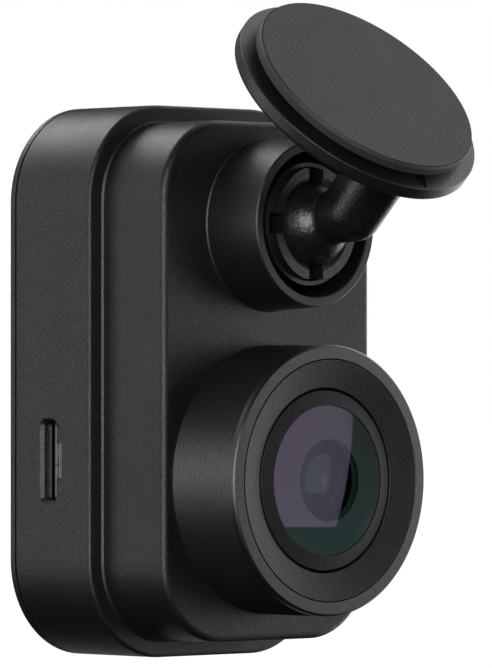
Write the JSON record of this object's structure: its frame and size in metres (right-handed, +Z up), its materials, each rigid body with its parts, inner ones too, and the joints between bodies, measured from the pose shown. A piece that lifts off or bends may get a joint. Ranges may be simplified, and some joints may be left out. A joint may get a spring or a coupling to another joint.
{
  "type": "dash camera",
  "caption": "Small windscreen camera: stepped housing with a grooved lens barrel, hung by a ball joint from a short arm with a round adhesive pad.",
  "frame": {"origin": "centre of the adhesive face that sticks to the windscreen", "axes": "+Z up, -Y the way the lens looks, +X across the camera's width"},
  "size_m": [0.0314, 0.0416, 0.0627],
  "materials": {
    "black_plastic": "fine moulded grain",
    "arm_plastic": "satin moulded, slightly polished ball",
    "barrel_plastic": "fine turned grooves on the side, smooth satin front",
    "joint_plastic": "fine moulded grain",
    "seat_plastic": "slippery acetal",
    "seal_rubber": "soft black rubber",
    "foam": "closed-cell foam",
    "film": "dull protective film",
    "lens_glass": "coated optical glass",
    "filter_glass": "blue-green filter glass",
    "lens_black": "flat black inside, stops stray light",
    "spring_steel": "folded sheet, nickel plated",
    "screw_steel": "black zinc",
    "aluminium": "satin",
    "board_green": "solder mask",
    "chip_black": "moulded epoxy",
    "sensor_glass": "cover glass over silicon",
    "ribbon": "polyimide",
    "white_plastic": "plain",
    "light_pipe": "frosted clear",
    "grey_plastic": "plain nylon",
    "thermal_grey": "soft gap filler",
    "sleeve": "shrink sleeve",
    "card_plastic": "plain, no print"
  },
  "bodies": {
    "mount": {"mount_arm": "arm_plastic", "pad_foam": "foam", "adhesive_film": "film"},
    "pan_seat": {"ball_seat": "seat_plastic"},
    "tilt_seat": {"friction_shim": "seat_plastic"},
    "button": {"action_button": "black_plastic", "switch_plunger": "white_plastic"},
    "card": {"memory_card": "card_plastic"},
    "camera": {"back_cover": "black_plastic", "rear_housing": "black_plastic", "front_housing": "black_plastic", "cover_gasket": "seal_rubber", "socket_cup": "joint_plastic", "tension_ring": "joint_plastic", "socket_nut": "joint_plastic", "lens_barrel": "barrel_plastic", "bezel_ring": "barrel_plastic", "glass_retaining_ring": "barrel_plastic", "lens_tube": "lens_black", "lens_holder": "lens_black", "lens_baffle": "lens_black", "aperture_stop": "lens_black", "lens_spacer": "lens_black", "front_spacer": "lens_black", "front_lens": "lens_glass", "second_lens": "lens_glass", "third_lens": "lens_glass", "rear_lens": "lens_glass", "infrared_filter": "filter_glass", "image_sensor": "sensor_glass", "sensor_board": "board_green", "main_board": "board_green", "sensor_screws": "screw_steel", "lens_screws": "screw_steel", "board_screws": "screw_steel", "camera_ribbon": "ribbon", "ribbon_connector": "white_plastic", "processor": "chip_black", "memory_chips": "chip_black", "thermal_pad": "thermal_grey", "heat_spreader": "aluminium", "wifi_antenna": "white_plastic", "backup_capacitors": "sleeve", "usb_shell": "spring_steel", "usb_tongue": "grey_plastic", "card_socket": "spring_steel", "button_switch": "chip_black", "light_pipes": "light_pipe", "status_leds": "white_plastic", "microphone": "aluminium", "microphone_seal": "seal_rubber"}
  },
  "joints": [
    {"name": "ball_pan", "type": "hinge", "parent": "mount", "child": "pan_seat", "pos_m": [0, 0.00815, -0.0131], "axis": [0, 0, 1], "range_deg": [-25, 25]},
    {"name": "ball_tilt", "type": "hinge", "parent": "pan_seat", "child": "tilt_seat", "pos_m": [0, 0.00815, -0.0131], "axis": [1, 0, 0], "range_deg": [-30, 20]},
    {"name": "ball_roll", "type": "hinge", "parent": "tilt_seat", "child": "camera", "pos_m": [0, 0.00815, -0.0131], "axis": [0, 1, 0], "range_deg": [-30, 30]},
    {"name": "button_press", "type": "slide", "parent": "camera", "child": "button", "axis": [0, -1, 0], "range_m": [0, 0.0004], "stiffness_N_per_m": 1500, "springref_m": -0.0002},
    {"name": "card_slide", "type": "slide", "parent": "camera", "child": "card", "axis": [1, 0, 0], "range_m": [0, 0.012]}
  ]
}
